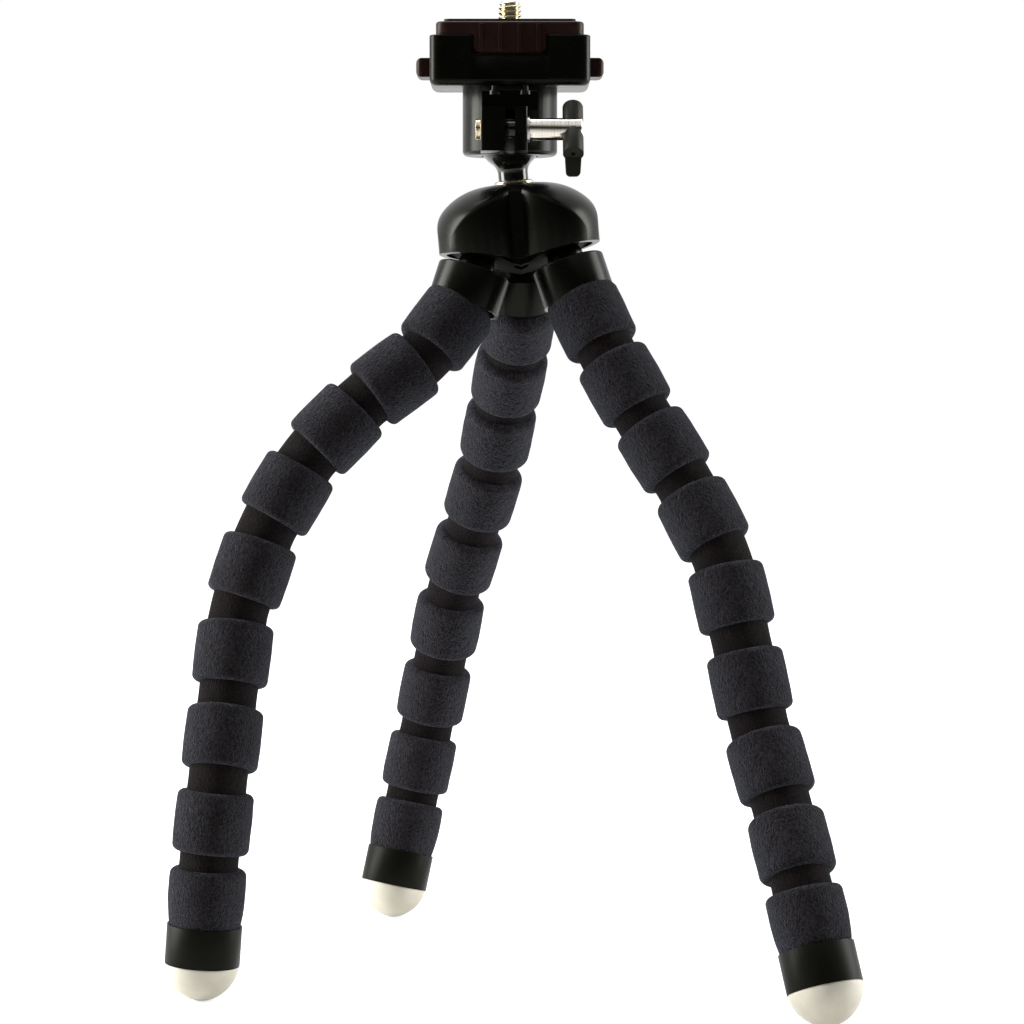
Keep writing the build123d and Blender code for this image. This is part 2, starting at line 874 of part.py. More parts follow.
with BuildPart() as t_knob:
    rod(knob_origin, knob_way, -knob_bar_length / 2, knob_bar_length / 2, knob_bar_diameter)
    fillet(t_knob.edges().group_by(Axis.Z)[-1], knob_bar_rounding)
    add(knob_blade)
    with BuildSketch(clamp_plane(knob_centre - knob_bar_diameter)):
        Circle(rod_diameter / 2 + fit_clearance / 2)
    extrude(amount=knob_bar_diameter * 2, mode=Mode.SUBTRACT)
    rod(knob_origin, knob_way, -knob_pin_length / 2, knob_pin_length / 2, knob_pin_diameter)
    hole_start = knob_bar_length / 2 - knob_hole_depth
    rod(
        knob_origin,
        knob_way,
        hole_start,
        knob_bar_length / 2,
        knob_hole_diameter,
        Mode.SUBTRACT,
    )
keep("t_knob", t_knob.part)


# Quick-release tray
def tray_plane(height=0):
    """A level plane in the tray's frame, counted from the tray's underside."""
    return head_plane(housing_rise + height)


def side_plane(across):
    """A plane square to X, drawn in Y and height from the tray's underside."""
    centre = ball_centre + Vector(across, 0, housing_rise)
    return Plane(origin=centre, x_dir=(0, 1, 0), z_dir=(1, 0, 0))


def front_plane(depth, height):
    """A plane that faces the front, drawn in X and height."""
    centre = ball_centre + Vector(0, depth, housing_rise + height)
    return Plane(origin=centre, x_dir=(1, 0, 0), z_dir=(0, -1, 0))


pocket_width = tray_width - tray_side * 2
pocket_depth = tray_depth - tray_wall * 2
plate_width = tray_width - plate_side_margin * 2
plate_depth = tray_depth - plate_front_margin * 2
block_width = pocket_width - plate_fit * 2
block_depth = pocket_depth - plate_fit * 2
hollow_width = block_width - block_wall * 2
notch_floor = tray_height - notch_depth
cavity_end = tray_width / 2 - button_cavity
shank_centre = -shank_side
spring_side = shank_side
panel_base = tray_floor / 2
panel_height = notch_floor - panel_top_margin - panel_base

with BuildPart() as quick_release_tray:
    with BuildSketch(tray_plane()) as outline:
        Rectangle(tray_width, tray_depth)
        fillet(outline.vertices(), tray_corner)
    extrude(amount=tray_height)
    fillet(quick_release_tray.edges().group_by(Axis.Z)[0], tray_rounding)
    fillet(quick_release_tray.edges().group_by(Axis.Z)[-1], tray_edge_rounding)
    with BuildSketch(tray_plane(tray_floor)):
        Rectangle(pocket_width, pocket_depth)
    extrude(amount=tray_height, mode=Mode.SUBTRACT)
    with BuildSketch(tray_plane(notch_floor)):
        with Locations((0, -tray_depth / 2)):
            Rectangle(notch_width, tray_wall * 3)
    extrude(amount=notch_depth, mode=Mode.SUBTRACT)
    # the bare front panel is sunk and bows in a little
    with BuildSketch(tray_plane(panel_base)):
        with BuildLine():
            half, front = notch_width / 2, -tray_depth / 2
            back = Line((half, front - panel_depth), (-half, front - panel_depth))
            ThreePointArc(
                (-half, front + panel_depth - panel_bow),
                (0, front + panel_depth),
                (half, front + panel_depth - panel_bow),
            )
            Line(back @ 0, (half, front + panel_depth - panel_bow))
            Line(back @ 1, (-half, front + panel_depth - panel_bow))
        make_face()
    extrude(amount=panel_height, mode=Mode.SUBTRACT)
    # a cavity in each side holds a button's head, and a slot takes its shank
    for side in (-1, 1):
        with BuildSketch(side_plane(side * cavity_end)):
            with Locations((0, button_level)):
                Rectangle(button_length + button_clearance * 2, button_height + button_clearance * 2)
        extrude(amount=side * button_cavity, mode=Mode.SUBTRACT)
        with BuildSketch(side_plane(side * pocket_width / 2)):
            with Locations((shank_centre, button_level)):
                Rectangle(shank_length + button_clearance * 2, shank_height + button_clearance * 2)
        extrude(amount=side * tray_side, mode=Mode.SUBTRACT)
    with BuildSketch(tray_plane()):
        with GridLocations(tray_screw_spread, tray_screw_reach * 2, 2, 2):
            Circle((tray_screw_diameter + fit_clearance) / 2)
    extrude(amount=tray_screw_length - flange_thickness + fit_clearance, mode=Mode.SUBTRACT)
keep("quick_release_tray", quick_release_tray.part)


def tray_screw(across, depth):
    """One screw that holds the tray to the ball housing's flange."""
    seat = head_plane(housing_rise - flange_thickness)
    with BuildPart() as screw:
        with BuildSketch(seat):
            with Locations((across, depth)):
                Circle(tray_screw_diameter / 2)
        extrude(amount=tray_screw_length)
        with BuildSketch(seat):
            with Locations((across, depth)):
                Circle(tray_screw_head / 2)
        extrude(amount=-tray_screw_head_height)
    return screw.part


half_spread = tray_screw_spread / 2
tray_screws = [
    tray_screw(across, depth)
    for across in (-half_spread, half_spread)
    for depth in (-tray_screw_reach, tray_screw_reach)
]
keep("tray_screws", *tray_screws)

# Release buttons
head_outer = tray_width / 2 + button_proud
head_inner = head_outer - button_head
shank_base = button_level - shank_height / 2
ledge_reach = hollow_width / 2 - ledge_width
hook_post = ledge_reach - hook_clearance - hook_tip - hook_thickness


def release_button(side):
    """A side button with the shank and the hook that catch the plate."""
    with BuildPart() as button:
        with BuildSketch(side_plane(side * head_outer)):
            with Locations((0, button_level)):
                Rectangle(button_length, button_height)
        extrude(amount=-side * button_head)
        outer = button.faces().sort_by(Axis.X)[0 if side < 0 else -1]
        fillet(outer.edges(), button_rounding)
        with BuildSketch(side_plane(side * head_inner)):
            with Locations((shank_centre, button_level)):
                Rectangle(shank_length, shank_height)
        extrude(amount=side * (hook_post - head_inner))
        post_centre = side * (hook_post + hook_thickness / 2)
        with BuildSketch(tray_plane(shank_base)):
            with Locations((post_centre, shank_centre)):
                Rectangle(hook_thickness, shank_length)
        extrude(amount=hook_top - shank_base)
        tip_centre = side * (hook_post + hook_thickness + hook_tip / 2)
        with BuildSketch(tray_plane(hook_top - hook_height)):
            with Locations((tip_centre, shank_centre)):
                Rectangle(hook_tip, shank_length)
        extrude(amount=hook_height)
    return button.part


def button_spring(side):
    """The sleeve that a button's return spring fills."""
    with BuildPart() as spring:
        with BuildSketch(side_plane(side * cavity_end)):
            with Locations((spring_side, button_level)):
                Circle(spring_diameter / 2)
                Circle(spring_diameter / 2 - spring_wire, mode=Mode.SUBTRACT)
        extrude(amount=side * (head_inner - cavity_end))
    return spring.part


for name, side in (("left", -1), ("right", 1)):
    keep(f"release_button_{name}", release_button(side))
    keep(f"button_spring_{name}", button_spring(side))

# Quick-release plate
plate_top = tray_height + plate_rim
web_base = plate_top - plate_web - plate_rim / 3
block_base = tray_height - block_drop
tab_front = -plate_depth / 2
tab_width = notch_width - tab_clearance * 2

with BuildPart() as quick_release_plate:
    with BuildSketch(tray_plane(tray_height)) as rim:
        Rectangle(plate_width, plate_depth)
        fillet(rim.vertices(), plate_corner)
    extrude(amount=plate_rim)
    fillet(quick_release_plate.edges().group_by(Axis.Z)[-1], plate_rounding)
    with BuildSketch(tray_plane(block_base)):
        Rectangle(block_width, block_depth)
    extrude(amount=block_drop)
    # the front tab hangs in the tray's notch
    with BuildSketch(front_plane(tab_front, tray_height)) as tab:
        with Locations((0, -tab_drop / 2)):
            Rectangle(tab_width, tab_drop)
        fillet(tab.vertices().group_by(Axis.Y)[0], tab_corner)
    extrude(amount=tab_front + block_depth / 2)
    # ribs on the tab
    with BuildSketch(tray_plane(tray_height - tab_drop + plate_rounding)):
        with Locations((0, tab_front)):
            with GridLocations(rib_pitch, 0, rib_count, 1):
                Rectangle(rib_width, rib_proud * 2)
    extrude(amount=plate_rim + tab_drop - plate_rounding * 2)
    # the hollow underneath, with a ledge for the hooks along each side
    with BuildSketch(tray_plane(block_base)):
        Rectangle(hollow_width - ledge_width * 2, block_depth - block_wall * 2)
    extrude(amount=web_base - block_base, mode=Mode.SUBTRACT)
    with BuildSketch(tray_plane(block_base + ledge_height)):
        Rectangle(hollow_width, block_depth - block_wall * 2)
    extrude(amount=web_base - block_base - ledge_height, mode=Mode.SUBTRACT)
    with BuildSketch(tray_plane(web_base)):
        Circle(screw_diameter / 2 + screw_clearance)
    extrude(amount=plate_top - web_base, mode=Mode.SUBTRACT)
    with BuildSketch(tray_plane(plate_top)):
        Circle(ring_diameter / 2 + plate_fit)
    extrude(amount=-ring_thickness, mode=Mode.SUBTRACT)
keep("quick_release_plate", quick_release_plate.part)

with BuildPart() as plate_pad:
    with BuildSketch(tray_plane(plate_top)) as pad:
        Rectangle(plate_width - pad_margin * 2, plate_depth - pad_margin * 2)
        fillet(pad.vertices(), plate_corner / 2)
        Circle(pad_hole_diameter / 2, mode=Mode.SUBTRACT)
    extrude(amount=pad_thickness)
keep("plate_pad", plate_pad.part)

pad_top = plate_top + pad_thickness
screw_tip = pad_top + screw_proud
thread_start = pad_top + relief_proud
with BuildPart() as camera_screw:
    with BuildSketch(tray_plane(web_base)):
        Circle(screw_head_diameter / 2)
    extrude(amount=-screw_head_height)
    # the shank is relieved under the thread, and turns in the plate
    with BuildSketch(tray_plane(web_base)):
        Circle(relief_diameter / 2)
    extrude(amount=thread_start - web_base)
    with BuildSketch(tray_plane(thread_start)):
        Circle(screw_diameter / 2)
    extrude(amount=screw_tip - thread_start)
    chamfer(camera_screw.edges().group_by(Axis.Z)[-1], screw_chamfer)
    with BuildSketch(tray_plane(web_base - screw_head_height)):
        Rectangle(screw_head_diameter, screw_slot_width)
    extrude(amount=screw_slot_depth, mode=Mode.SUBTRACT)
keep("camera_screw", camera_screw.part)

with BuildPart() as screw_ring:
    with BuildSketch(tray_plane(plate_top - ring_thickness)):
        Circle(ring_diameter / 2)
        Circle(relief_diameter / 2 + fit_clearance / 2, mode=Mode.SUBTRACT)
    extrude(amount=ring_thickness)
keep("screw_ring", screw_ring.part)

# The whole tripod is moved sideways so that the origin is on the floor under the middle
# of its box, and each node is written
everything = Compound([solid for solids in pieces.values() for solid in solids])
box = everything.bounding_box()
shift = Location((-box.center().X, -box.center().Y, 0))

for name, solids in pieces.items():
    placed = [solid.moved(shift) for solid in solids]
    node = placed[0] if len(placed) == 1 else Compound(placed)
    node.label = name
    export_step(node, f"parts/{name}.step")
print(f"{len(pieces)} nodes, size {box.size}, lowest {box.min.Z:.3f}")
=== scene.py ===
# %% [markdown]
# # A flexible leg tripod
#
# This is a small camera tripod. Three bendable legs wear foam sleeves cut into bands, a
# lobed hub joins them, and a ball head on top carries a quick-release plate. The engineered
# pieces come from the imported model, which is loaded here as a fixed frame. This file gives
# them their finishes, and models the soft foam, the rubber feet, the camera screw's thread
# and the button springs as meshes.

import json
import math

import bmesh
import bpy
from mathutils import Matrix, Vector, noise


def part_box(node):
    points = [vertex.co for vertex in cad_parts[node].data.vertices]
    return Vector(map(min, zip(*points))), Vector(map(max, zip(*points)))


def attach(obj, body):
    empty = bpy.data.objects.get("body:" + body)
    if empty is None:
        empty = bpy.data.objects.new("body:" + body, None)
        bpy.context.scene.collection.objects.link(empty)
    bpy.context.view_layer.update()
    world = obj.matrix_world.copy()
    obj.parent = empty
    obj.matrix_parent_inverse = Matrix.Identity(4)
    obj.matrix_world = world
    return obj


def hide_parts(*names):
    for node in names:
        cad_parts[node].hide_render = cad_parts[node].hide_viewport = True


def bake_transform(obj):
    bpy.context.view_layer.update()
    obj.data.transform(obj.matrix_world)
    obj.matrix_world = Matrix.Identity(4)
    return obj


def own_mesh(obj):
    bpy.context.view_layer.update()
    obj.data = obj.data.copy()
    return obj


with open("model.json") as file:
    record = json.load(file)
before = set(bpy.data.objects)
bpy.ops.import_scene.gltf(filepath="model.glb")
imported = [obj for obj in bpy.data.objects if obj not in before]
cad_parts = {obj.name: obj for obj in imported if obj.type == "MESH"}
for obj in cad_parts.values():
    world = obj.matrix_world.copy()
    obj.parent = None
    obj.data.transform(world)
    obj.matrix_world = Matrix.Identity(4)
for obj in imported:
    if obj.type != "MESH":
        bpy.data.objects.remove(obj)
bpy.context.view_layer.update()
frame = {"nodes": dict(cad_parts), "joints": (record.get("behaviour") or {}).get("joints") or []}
MM = 0.001
SIDES = ("left", "right", "back")

# %% [markdown]
# ## Where the legs run
#
# A leg bends at its neck in the hub and at eight grooves, and each of those places is a
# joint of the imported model. So the course of a leg is read from the joints, not measured
# again. The top band turns where its cap ends: that point lies on the cap's own axis. The
# leg ends in the bottom cap, a plain cylinder, so the middle of its box is on its axis.

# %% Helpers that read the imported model
joints = {joint["name"]: joint for joint in frame["joints"]}


def joint_place(name):
    """Where a joint turns, at rest."""
    return Vector(joints[name]["pos_m"])


def node_middle(node):
    """The mean of a node's points, which lies on the axis of a round node."""
    points = [vertex.co for vertex in frame["nodes"][node].data.vertices]
    return sum(points, Vector()) / len(points)


def box_middle(node):
    """The middle of a node's box, which lies on the axis of a plain cylinder."""
    low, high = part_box(node)
    return (low + high) / 2


# %% Read the course of each leg
BAND_COUNT = 9
CAP_REACH = 12.0 * MM
FIRST_BAND_LENGTH = 15.4 * MM
BAND_LENGTH = 16.3 * MM
LAST_BAND_LENGTH = 15.1 * MM
BOTTOM_CAP_LENGTH = 10.5 * MM


def leg_course(side):
    """The ends and the way of each band's axis, and the width of each groove."""
    neck = joint_place(f"{side}_neck")
    cap_way = (node_middle(f"top_cap_{side}") - neck).normalized()
    bends = [neck + cap_way * CAP_REACH]
    bends += [joint_place(f"{side}_bend_{k}") for k in range(1, BAND_COUNT)]
    bends.append(box_middle(f"bottom_cap_{side}"))
    ways = [(b - a).normalized() for a, b in zip(bends, bends[1:])]
    last_span = (bends[BAND_COUNT] - bends[BAND_COUNT - 1]).length
    grooves = [(last_span - LAST_BAND_LENGTH - BOTTOM_CAP_LENGTH / 2) * 2]
    for k in range(BAND_COUNT - 1, 1, -1):
        span = (bends[k] - bends[k - 1]).length
        grooves.insert(0, (span - BAND_LENGTH) * 2 - grooves[0])
    return bends, ways, grooves


COURSES = {side: leg_course(side) for side in SIDES}
for side in SIDES:
    print(side, "grooves in mm", [round(g / MM, 2) for g in COURSES[side][2]])

# %% [markdown]
# ## Turned shapes
#
# Bands and feet are turned shapes. One helper spins an outline of (radius, height) points
# round an axis, which gives rings of points. Another makes a mesh through such rings. It lays
# a UV map too, with the turn across and the height in millimetres up, so that a finish can
# follow the axis with no seam.

# %% A helper for turned shapes
AROUND = 80


def axis_frame(origin, way):
    """A matrix whose Z runs along an axis."""
    turn = way.to_track_quat("Z", "Y").to_matrix().to_4x4()
    return Matrix.Translation(origin) @ turn


def arc(centre, radius, start, end, steps):
    """Points on an arc of an outline, with its angles in degrees."""
    angles = [math.radians(start + (end - start) * k / steps) for k in range(steps + 1)]
    return [(centre[0] + radius * math.cos(a), centre[1] + radius * math.sin(a)) for a in angles]


def ring_mesh(name, rings, heights, closed_ends=True):
    """A tube of quads through rings of points, with the UV map that finishes use."""
    mesh = bpy.data.meshes.new(name)
    build = bmesh.new()
    around = len(rings[0])
    rows = [[build.verts.new(point) for point in ring] for ring in rings]
    uv = build.loops.layers.uv.new("turn")
    for row, (low, high) in enumerate(zip(rows, rows[1:])):
        for k in range(around):
            after = (k + 1) % around
            face = build.faces.new((low[k], low[after], high[after], high[k]))
            face.smooth = True
            corners = ((k, row), (k + 1, row), (k + 1, row + 1), (k, row + 1))
            for loop, (across, up) in zip(face.loops, corners):
                loop[uv].uv = (across / around, heights[up] / MM)
    if closed_ends:
        build.faces.new(list(reversed(rows[0])))
        build.faces.new(rows[-1])
    bmesh.ops.recalc_face_normals(build, faces=build.faces)
    build.to_mesh(mesh)
    build.free()
    piece = bpy.data.objects.new(name, mesh)
    bpy.context.scene.collection.objects.link(piece)
    return piece


def turned(name, origin, way, outline, ripple=None):
    """A turned shape. A ripple gives the surface's small unevenness at a place."""
    place = axis_frame(origin, way)
    rings = []
    for radius, height in outline:
        ring = []
        for k in range(AROUND):
            angle = math.tau * k / AROUND
            flat = Vector((math.cos(angle), math.sin(angle), 0))
            reach = radius + (ripple(flat, height) if ripple else 0)
            ring.append(place @ (flat * reach + Vector((0, 0, height))))
        rings.append(ring)
    return ring_mesh(name, rings, [height for radius, height in outline])


# %% [markdown]
# ## Foam bands
#
# The sleeve is one moulded foam tube on each leg, with narrow grooves cut round it. A band's
# shoulders are soft, its wall swells a little between them, and no foam is perfectly round,
# so a slow noise moves the wall by a tenth of a millimetre. Each band stands for the plain
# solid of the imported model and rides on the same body.

# %% Sizes of the foam, and its unevenness
BAND_RADIUS = 10.2 * MM
SHOULDER = 1.7 * MM
SWELL = 0.12 * MM
UNEVEN = 0.10 * MM
NECK_RADIUS = 8.0 * MM
CAP_RADIUS = 10.0 * MM
TUCK = 1.6 * MM
SHOULDER_STEPS = 7
RIPPLES_AROUND = 2.2
RIPPLE_LENGTH = 4 * MM
SEED_STEP = 7.3
SEEDS_PER_LEG = 10


def foam_ripple(seed):
    """Slow unevenness of a foam wall, different on each band."""

    def ripple(flat, height):
        up = Vector((seed * SEED_STEP, 0, height / RIPPLE_LENGTH))
        return noise.noise(flat * RIPPLES_AROUND + up) * UNEVEN

    return ripple


print("foam radius in mm", round(BAND_RADIUS / MM, 1), "uneven by", round(UNEVEN / MM, 2))

# %% [markdown]
# A band's outline runs from its lower end to its upper end as seen along the leg. The bands
# between two grooves are alike, but the top band starts flush with its cap, and the lowest
# one narrows until it meets its own cap.

# %% Outlines of the three kinds of band
BOTTOM_ROWS = 12
TOP_INSET = UNEVEN * 3
BOTTOM_INSET = UNEVEN * 5


def wall(start, end, steps=10):
    """The side of a band, which swells a little between two heights."""
    rows = []
    for k in range(1, steps):
        share = k / steps
        swell = SWELL * math.sin(math.pi * share)
        rows.append((BAND_RADIUS + swell, start + (end - start) * share))
    return rows


def low_shoulder(start):
    """The rounding at the start of a band."""
    centre = (BAND_RADIUS - SHOULDER, start + SHOULDER)
    return arc(centre, SHOULDER, -90, 0, SHOULDER_STEPS)


def high_shoulder(end):
    """The rounding at the end of a band."""
    centre = (BAND_RADIUS - SHOULDER, end - SHOULDER)
    return arc(centre, SHOULDER, 0, 90, SHOULDER_STEPS)


def band_outline(start, end):
    """A band that is free at both ends."""
    inner = NECK_RADIUS - TUCK
    side = wall(start + SHOULDER, end - SHOULDER)
    return [(inner, start)] + low_shoulder(start) + side + high_shoulder(end) + [(inner, end)]


def top_outline(start, end):
    """The top band, which comes out of its cap."""
    mouth = [(CAP_RADIUS - TUCK, start - TUCK), (CAP_RADIUS - TOP_INSET, start)]
    side = wall(start, end - SHOULDER)
    return mouth + side + high_shoulder(end) + [(NECK_RADIUS - TUCK, end)]


def bottom_outline(start, end):
    """The lowest band, which narrows into its cap."""
    rows = []
    for k in range(1, BOTTOM_ROWS + 1):
        share = k / BOTTOM_ROWS
        narrow = (BAND_RADIUS - CAP_RADIUS + BOTTOM_INSET) * share**3
        swell = SWELL * math.sin(math.pi * share)
        height = start + SHOULDER + (end - start - SHOULDER) * share
        rows.append((BAND_RADIUS + swell - narrow, height))
    mouth = [(CAP_RADIUS - TUCK, end + TUCK)]
    return [(NECK_RADIUS - TUCK, start)] + low_shoulder(start) + rows + mouth


print("points in a band's outline", len(band_outline(0, BAND_LENGTH)))

# %% Model the foam bands
foam_pieces = []
for leg, side in enumerate(SIDES):
    bends, ways, grooves = COURSES[side]
    for band in range(1, BAND_COUNT + 1):
        if band == 1:
            outline = top_outline(0, FIRST_BAND_LENGTH)
        elif band == BAND_COUNT:
            start = grooves[-1] / 2
            outline = bottom_outline(start, start + LAST_BAND_LENGTH)
        else:
            start = grooves[band - 2] / 2
            outline = band_outline(start, start + BAND_LENGTH)
        name = f"foam_{side}_{band}"
        ripple = foam_ripple(leg * SEEDS_PER_LEG + band)
        piece = turned(name, bends[band - 1], ways[band - 1], outline, ripple)
        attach(piece, f"leg_{side}_{band}")
        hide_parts(f"band_{side}_{band}")
        foam_pieces.append(piece)
print("foam bands", len(foam_pieces))

# %% [markdown]
# ## Foam in the grooves
#
# Between two bands the sleeve is thinner, and that is where the leg bends. Each neck is a
# short tube along a curve from one band's axis to the next. It crosses a joint and reaches a
# little way into both bands.

# %% Model the necks in the grooves
NECK_ROWS = 14
WAIST = 0.15 * MM


def neck_piece(name, joint, way_in, way_out, width):
    """One bent neck, which reaches a little way into both bands."""
    reach = width / 2 + TUCK
    start = joint - way_in * reach
    end = joint + way_out * reach
    rings = []
    heights = []
    side_way = way_in.orthogonal().normalized()
    for row in range(NECK_ROWS + 1):
        t = row / NECK_ROWS
        centre = start * (1 - t) ** 2 + joint * 2 * t * (1 - t) + end * t**2
        way = (way_in * (1 - t) + way_out * t).normalized()
        side_way = (side_way - way * side_way.dot(way)).normalized()
        other = way.cross(side_way)
        radius = NECK_RADIUS - WAIST * math.sin(math.pi * t)
        ring = []
        for k in range(AROUND):
            angle = math.tau * k / AROUND
            spoke = side_way * math.cos(angle) + other * math.sin(angle)
            ring.append(centre + spoke * radius)
        rings.append(ring)
        heights.append(t * reach * 2)
    return ring_mesh(name, rings, heights, closed_ends=False)


for side in SIDES:
    bends, ways, grooves = COURSES[side]
    for k in range(1, BAND_COUNT):
        groove = grooves[k - 1]
        piece = neck_piece(f"neck_{side}_{k}", bends[k], ways[k - 1], ways[k], groove)
        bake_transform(piece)
        foam_pieces.append(piece)
print("foam pieces with necks", len(foam_pieces))

# %% [markdown]
# ## Feet
#
# The feet are pale rubber domes. They are not quite half balls: the dome is a little
# pointed, and its rim starts just inside the cap. The outline is a power curve, which holds
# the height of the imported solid.

# %% Model the feet
FOOT_RADIUS = 9.8 * MM
FOOT_POWER = 1.9
FOOT_ROWS = 25
FOOT_LIP = 1.2 * MM
FOOT_TUCK = 0.4 * MM
FOOT_PROUD = 0.05 * MM


def foot_outline():
    """The rim, which starts a little inside the cap, and the dome."""
    rows = [(FOOT_RADIUS - FOOT_LIP, -FOOT_TUCK), (FOOT_RADIUS + FOOT_PROUD, 0)]
    for k in range(1, FOOT_ROWS):
        angle = math.pi / 2 * k / FOOT_ROWS
        radius = FOOT_RADIUS * math.cos(angle) ** (2 / FOOT_POWER)
        rows.append((radius, FOOT_RADIUS * math.sin(angle) ** (2 / FOOT_POWER)))
    return rows


foot_pieces = []
for side in SIDES:
    bends, ways, grooves = COURSES[side]
    rim = bends[BAND_COUNT] + ways[-1] * BOTTOM_CAP_LENGTH / 2
    piece = turned(f"rubber_foot_{side}", rim, ways[-1], foot_outline())
    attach(piece, f"leg_{side}_{BAND_COUNT}")
    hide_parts(f"foot_{side}")
    foot_pieces.append(piece)
lowest = min(vertex.co.z for piece in foot_pieces for vertex in piece.data.vertices)
print("feet", len(foot_pieces), "lowest point in mm", round(lowest / MM, 3))

# %% [markdown]
# ## The camera screw
#
# A quarter-inch camera screw has twenty threads to the inch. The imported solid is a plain
# bar of the outer diameter, so this piece cuts a real helix: the radius at each place
# depends on how far round and how far up the screw it is. The head and the relieved shank
# below the thread are plain rings.

# %% Work out the thread
THREAD_PITCH = 25.4 * MM / 20
THREAD_DEPTH = 0.65 * MM
THREAD_FLANK = 1.25
THREAD_FLAT = 0.12
TIP_LENGTH = 0.7 * MM
SCREW_RADIUS = 3.175 * MM

screw_low, screw_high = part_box("camera_screw")
screw_height = screw_high.z - screw_low.z


def thread_radius(angle, height):
    """The screw's radius, with crests and roots flattened and the tip tapered."""
    phase = (height / THREAD_PITCH - angle / math.tau) % 1
    tooth = min(1, max(0, abs(phase - 0.5) * 2 * THREAD_FLANK - THREAD_FLAT))
    taper = max(0, (height - screw_height + TIP_LENGTH) / TIP_LENGTH)
    return SCREW_RADIUS - THREAD_DEPTH * (1 - tooth) * (1 - taper) - THREAD_DEPTH * taper


def screw_ring(height, radius_at):
    """One ring of the screw, from the radius at each angle."""
    centre = (screw_low + screw_high) / 2
    ring = []
    for k in range(AROUND):
        angle = math.tau * k / AROUND
        radius = radius_at(angle)
        x = centre.x + math.cos(angle) * radius
        y = centre.y + math.sin(angle) * radius
        ring.append(Vector((x, y, screw_low.z + height)))
    return ring


print("screw height in mm", round(screw_height / MM, 2))

# %% Model the threaded camera screw
SCREW_HEAD_RADIUS = 5.5 * MM
SCREW_HEAD_HEIGHT = 2.4 * MM
SCREW_HEAD_CHAMFER = 0.4 * MM
SHANK_RADIUS = 2.5 * MM
SHANK_PROUD = 0.5 * MM
LEDGE = 0.01 * MM
THREAD_ROWS = 90

thread_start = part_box("plate_pad")[1].z + SHANK_PROUD - screw_low.z
plain_rows = [
    (SCREW_HEAD_RADIUS - SCREW_HEAD_CHAMFER, 0),
    (SCREW_HEAD_RADIUS, SCREW_HEAD_CHAMFER),
    (SCREW_HEAD_RADIUS, SCREW_HEAD_HEIGHT),
    (SHANK_RADIUS, SCREW_HEAD_HEIGHT + LEDGE),
    (SHANK_RADIUS, thread_start - LEDGE),
]
rings = []
for radius, height in plain_rows:
    rings.append(screw_ring(height, lambda angle: radius))
heights = [height for radius, height in plain_rows]
for row in range(THREAD_ROWS + 1):
    height = thread_start + (screw_height - thread_start) * row / THREAD_ROWS
    rings.append(screw_ring(height, lambda angle: thread_radius(angle, height)))
    heights.append(height)
threaded_screw = ring_mesh("threaded_camera_screw", rings, heights)
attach(threaded_screw, "camera_screw")
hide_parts("camera_screw")
print("thread rows", THREAD_ROWS)

# %% [markdown]
# ## Button springs
#
# A small coil spring behind each button pushes it out again. Each is a round wire on a
# helix.

# %% Model the button springs
SPRING_RADIUS = 1.25 * MM
SPRING_WIRE = 0.25 * MM
SPRING_TURNS = 5
SPRING_STEPS = SPRING_TURNS * 24
WIRE_SIDES = 8
WIRE_STEP = 0.1 * MM


def wire_ring(middle, spoke):
    """One ring round the spring's wire."""
    ring = []
    for k in range(WIRE_SIDES):
        turn = math.tau * k / WIRE_SIDES
        out = spoke * math.cos(turn) + Vector((math.sin(turn), 0, 0))
        ring.append(middle + out * SPRING_WIRE)
    return ring


def spring_piece(side):
    """A coil between the tray and a button, along X."""
    low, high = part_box(f"button_spring_{side}")
    centre = (low + high) / 2
    length = high.x - low.x - SPRING_WIRE * 2
    rings = []
    for row in range(SPRING_STEPS + 1):
        share = row / SPRING_STEPS
        angle = math.tau * SPRING_TURNS * share
        spoke = Vector((0, math.cos(angle), math.sin(angle)))
        along = Vector((length * (share - 0.5), 0, 0))
        rings.append(wire_ring(centre + spoke * SPRING_RADIUS + along, spoke))
    heights = [WIRE_STEP * row for row in range(SPRING_STEPS + 1)]
    piece = ring_mesh(f"coil_{side}", rings, heights)
    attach(piece, "head")
    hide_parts(f"button_spring_{side}")
    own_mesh(piece)
    return piece


springs = [spring_piece("left"), spring_piece("right")]
print("springs", len(springs))

# %% [markdown]
# ## Soft edges on the moulded and machined pieces
#
# No moulded edge is perfectly sharp, and it is the thin light line along it that makes a
# black piece readable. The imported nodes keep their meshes, but a modifier may round their
# edges: it first welds the mesh's split seams, then bevels what is left sharp.

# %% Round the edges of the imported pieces
WELD_REACH = 0.002 * MM
EDGE_SEGMENTS = 3
SHARP_EDGE = math.radians(32)
EDGE_WIDTHS = {
    "hub_shell": 0.25 * MM,
    "top_cap_left": 0.35 * MM,
    "top_cap_right": 0.35 * MM,
    "top_cap_back": 0.35 * MM,
    "bottom_cap_left": 0.25 * MM,
    "bottom_cap_right": 0.25 * MM,
    "bottom_cap_back": 0.25 * MM,
    "socket_housing": 0.35 * MM,
    "quick_release_tray": 0.5 * MM,
    "quick_release_plate": 0.25 * MM,
    "plate_pad": 0.12 * MM,
    "release_button_left": 0.12 * MM,
    "release_button_right": 0.12 * MM,
    "t_knob": 0.3 * MM,
    "clamp_screw": 0.12 * MM,
    "clamp_nut": 0.12 * MM,
    "stem_collar": 0.12 * MM,
}
for node, width in EDGE_WIDTHS.items():
    piece = frame["nodes"][node]
    weld = piece.modifiers.new("weld_seams", "WELD")
    weld.merge_threshold = WELD_REACH
    soft = piece.modifiers.new("soft_edges", "BEVEL")
    soft.width = width
    soft.segments = EDGE_SEGMENTS
    soft.limit_method = "ANGLE"
    soft.angle_limit = SHARP_EDGE
    soft.use_clamp_overlap = True
    soft.harden_normals = True
